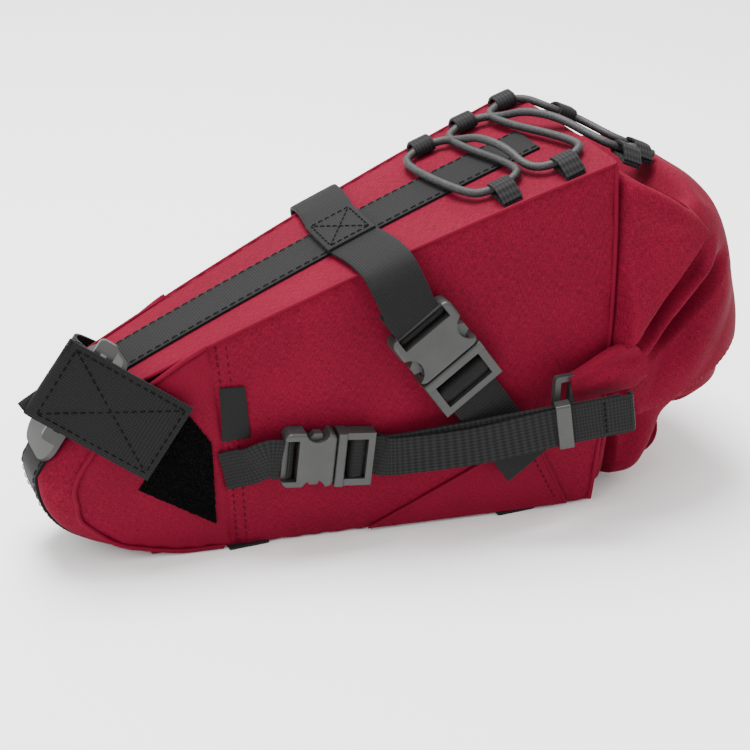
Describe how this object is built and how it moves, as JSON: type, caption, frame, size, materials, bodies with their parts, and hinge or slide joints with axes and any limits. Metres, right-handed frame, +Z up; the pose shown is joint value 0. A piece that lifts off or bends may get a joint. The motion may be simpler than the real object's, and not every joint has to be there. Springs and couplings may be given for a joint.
{
  "type": "saddle bag",
  "caption": "Tapered roll-top bicycle saddle bag with seatpost strap, buckled saddle and side straps, and a shock-cord lacing on top.",
  "frame": {"origin": "on the underside webbing, under the middle of the bag, in its plane of symmetry", "axes": "+X from the nose at the seatpost to the roll-top closure, +Z up; the bag's left side faces -Y"},
  "size_m": [0.3634, 0.1754, 0.1876],
  "materials": {
    "shell_cloth": "heather weave",
    "webbing": "ribbed",
    "buckle": "fine grain",
    "plate": "smooth",
    "patch": "loop pile",
    "cord": "braided",
    "metal": "matte"
  },
  "bodies": {
    "bag": {"base_panel": "shell_cloth", "base_stiffener": "plate", "base_strip": "webbing", "base_tabs": "webbing", "bungee_cord": "cord", "centre_strip": "webbing", "collar": "shell_cloth", "cord_loops_left": "webbing", "cord_loops_right": "webbing", "cord_tail_loop": "webbing", "loop_patch": "patch", "main_side_left": "shell_cloth", "main_side_right": "shell_cloth", "nose_gusset": "shell_cloth", "nose_side_left": "shell_cloth", "nose_side_right": "shell_cloth", "roll_hook_left": "metal", "roll_hook_right": "metal", "saddle_buckle_plug_left": "buckle", "saddle_buckle_plug_right": "buckle", "saddle_strap_left": "webbing", "saddle_strap_right": "webbing", "saddle_tail_left": "webbing", "saddle_tail_right": "webbing", "seatpost_plate": "plate", "seatpost_ring": "plate", "seatpost_strap": "webbing", "side_buckle_socket_left": "buckle", "side_buckle_socket_right": "buckle", "side_strap_left": "webbing", "side_strap_right": "webbing", "side_strap_root_left": "webbing", "side_strap_root_right": "webbing", "side_tab": "webbing", "top_panel": "shell_cloth", "wing_left": "shell_cloth", "wing_right": "shell_cloth"},
    "saddle_socket_left": {"saddle_buckle_socket_left": "buckle"},
    "saddle_prong_a_left": {"saddle_buckle_prong_a_left": "buckle"},
    "saddle_prong_b_left": {"saddle_buckle_prong_b_left": "buckle"},
    "side_plug_left": {"side_buckle_plug_left": "buckle"},
    "side_prong_a_left": {"side_buckle_prong_a_left": "buckle"},
    "side_prong_b_left": {"side_buckle_prong_b_left": "buckle"},
    "keeper_left": {"strap_keeper_left": "buckle"},
    "saddle_socket_right": {"saddle_buckle_socket_right": "buckle"},
    "saddle_prong_a_right": {"saddle_buckle_prong_a_right": "buckle"},
    "saddle_prong_b_right": {"saddle_buckle_prong_b_right": "buckle"},
    "side_plug_right": {"side_buckle_plug_right": "buckle"},
    "side_prong_a_right": {"side_buckle_prong_a_right": "buckle"},
    "side_prong_b_right": {"side_buckle_prong_b_right": "buckle"},
    "keeper_right": {"strap_keeper_right": "buckle"},
    "strap_end": {"seatpost_strap_end": "webbing", "hook_patch": "patch"},
    "roll": {"rolled_closure": "shell_cloth", "mouth_stiffener": "plate"}
  },
  "joints": [
    {"name": "saddle_release_left", "type": "slide", "parent": "bag", "child": "saddle_socket_left", "axis": [-0.5707, 0.1291, 0.811], "range_m": [0, 0.024], "deforming": ["saddle_strap_left", "saddle_buckle_prong_a_left", "saddle_buckle_prong_b_left"]},
    {"name": "side_release_left", "type": "slide", "parent": "bag", "child": "side_plug_left", "axis": [0.9855, -0.1438, -0.0896], "range_m": [0, 0.02], "deforming": ["side_strap_left", "side_buckle_prong_a_left", "side_buckle_prong_b_left"]},
    {"name": "saddle_prong_squeeze_left", "type": "hinge", "parent": "bag", "child": "saddle_prong_a_left", "pos_m": [0.02331, -0.05843, 0.09958], "axis": [-0.0743, -0.9916, 0.1055], "range_deg": [0, 8], "stiffness_Nm_per_rad": 0.05, "deforming": ["saddle_buckle_prong_a_left", "saddle_buckle_prong_b_left"]},
    {"name": "saddle_prong_follow_left", "type": "hinge", "parent": "bag", "child": "saddle_prong_b_left", "pos_m": [0.0027, -0.05843, 0.08508], "axis": [-0.0743, -0.9916, 0.1055], "range_deg": [-8, 0], "stiffness_Nm_per_rad": 0.05},
    {"name": "side_prong_squeeze_left", "type": "hinge", "parent": "side_plug_left", "child": "side_prong_a_left", "pos_m": [-0.03773, -0.04933, 0.05907], "axis": [-0.1433, -0.9896, 0.013], "range_deg": [0, 8], "stiffness_Nm_per_rad": 0.05, "deforming": ["side_buckle_prong_a_left", "side_buckle_prong_b_left"]},
    {"name": "side_prong_follow_left", "type": "hinge", "parent": "side_plug_left", "child": "side_prong_b_left", "pos_m": [-0.03947, -0.04933, 0.03995], "axis": [-0.1433, -0.9896, 0.013], "range_deg": [-8, 0], "stiffness_Nm_per_rad": 0.05},
    {"name": "keeper_slide_left", "type": "slide", "parent": "bag", "child": "keeper_left", "axis": [0.9475, -0.2752, 0.1627], "range_m": [-0.018, 0.028]},
    {"name": "saddle_release_right", "type": "slide", "parent": "bag", "child": "saddle_socket_right", "axis": [-0.5707, -0.1291, 0.811], "range_m": [0, 0.024], "deforming": ["saddle_strap_right", "saddle_buckle_prong_a_right", "saddle_buckle_prong_b_right"]},
    {"name": "side_release_right", "type": "slide", "parent": "bag", "child": "side_plug_right", "axis": [0.9855, 0.1438, -0.0896], "range_m": [0, 0.02], "deforming": ["side_strap_right", "side_buckle_prong_a_right", "side_buckle_prong_b_right"]},
    {"name": "saddle_prong_squeeze_right", "type": "hinge", "parent": "bag", "child": "saddle_prong_a_right", "pos_m": [0.02331, 0.05843, 0.09958], "axis": [0.0743, -0.9916, -0.1055], "range_deg": [0, 8], "stiffness_Nm_per_rad": 0.05, "deforming": ["saddle_buckle_prong_a_right", "saddle_buckle_prong_b_right"]},
    {"name": "saddle_prong_follow_right", "type": "hinge", "parent": "bag", "child": "saddle_prong_b_right", "pos_m": [0.0027, 0.05843, 0.08508], "axis": [0.0743, -0.9916, -0.1055], "range_deg": [-8, 0], "stiffness_Nm_per_rad": 0.05},
    {"name": "side_prong_squeeze_right", "type": "hinge", "parent": "side_plug_right", "child": "side_prong_a_right", "pos_m": [-0.03773, 0.04933, 0.05907], "axis": [0.1433, -0.9896, -0.013], "range_deg": [0, 8], "stiffness_Nm_per_rad": 0.05, "deforming": ["side_buckle_prong_a_right", "side_buckle_prong_b_right"]},
    {"name": "side_prong_follow_right", "type": "hinge", "parent": "side_plug_right", "child": "side_prong_b_right", "pos_m": [-0.03947, 0.04933, 0.03995], "axis": [0.1433, -0.9896, -0.013], "range_deg": [-8, 0], "stiffness_Nm_per_rad": 0.05},
    {"name": "keeper_slide_right", "type": "slide", "parent": "bag", "child": "keeper_right", "axis": [0.9475, 0.2752, 0.1627], "range_m": [-0.018, 0.028]},
    {"name": "seatpost_strap_peel", "type": "hinge", "parent": "bag", "child": "strap_end", "pos_m": [-0.15537, -0.01929, 0.09141], "axis": [-0.5701, 0, -0.8216], "range_deg": [0, 100], "deforming": ["seatpost_strap"]},
    {"name": "roll_top_unroll", "type": "slide", "parent": "bag", "child": "roll", "axis": [1, 0, 0], "range_m": [0, 0.045], "deforming": ["collar"]}
  ],
  "couplings": [
    {"joint": "saddle_prong_follow_left", "follows": "saddle_prong_squeeze_left", "ratio": -1},
    {"joint": "side_prong_follow_left", "follows": "side_prong_squeeze_left", "ratio": -1},
    {"joint": "saddle_prong_follow_right", "follows": "saddle_prong_squeeze_right", "ratio": -1},
    {"joint": "side_prong_follow_right", "follows": "side_prong_squeeze_right", "ratio": -1}
  ]
}
